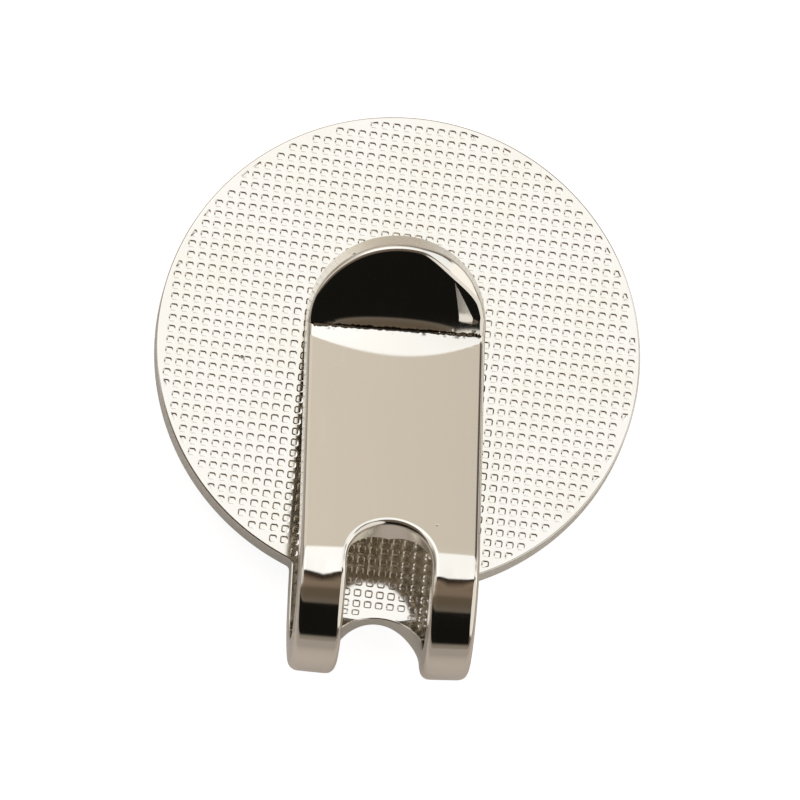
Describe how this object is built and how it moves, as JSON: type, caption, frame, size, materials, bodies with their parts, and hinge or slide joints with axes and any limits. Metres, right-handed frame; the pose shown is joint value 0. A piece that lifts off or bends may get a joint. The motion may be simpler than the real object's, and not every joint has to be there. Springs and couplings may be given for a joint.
{
  "type": "ball marker with hat clip",
  "caption": "Round magnetic golf ball marker seated on a hat clip: disc with waffle back, slotted U-bend tongue with a crease and flared half-round tip.",
  "frame": {"origin": "centre of the marker's front face, on the surface that the object lies on", "axes": "+Z towards the clip's back, +Y towards the tongue's free tip, +X across the tongue; the marker faces -Z"},
  "size_m": [0.025, 0.0304, 0.0097],
  "materials": {
    "nickel_clip": "bright nickel plate on a cast body, fine hairlines, waffle texture on the inner faces",
    "magnet_plating": "nickel plated neodymium, satin with rounded edge",
    "glue": "thin cured epoxy",
    "nickel_marker": "bright nickel plate on struck steel",
    "enamel_blue": "soft enamel, glossy",
    "enamel_green": "soft enamel, glossy",
    "enamel_red": "soft enamel, glossy",
    "enamel_white": "soft enamel, glossy"
  },
  "bodies": {
    "clip": {"clip_body": "nickel_clip", "magnet": "magnet_plating", "magnet_glue": "glue"},
    "marker": {"marker_blank": "nickel_marker", "enamel_sky": "enamel_blue", "enamel_green": "enamel_green", "enamel_flag": "enamel_red", "enamel_ball": "enamel_white"}
  },
  "joints": [
    {"name": "clip_lift", "type": "slide", "parent": "marker", "child": "clip", "axis": [0, 0, 1], "range_m": [0, 0.012]}
  ]
}
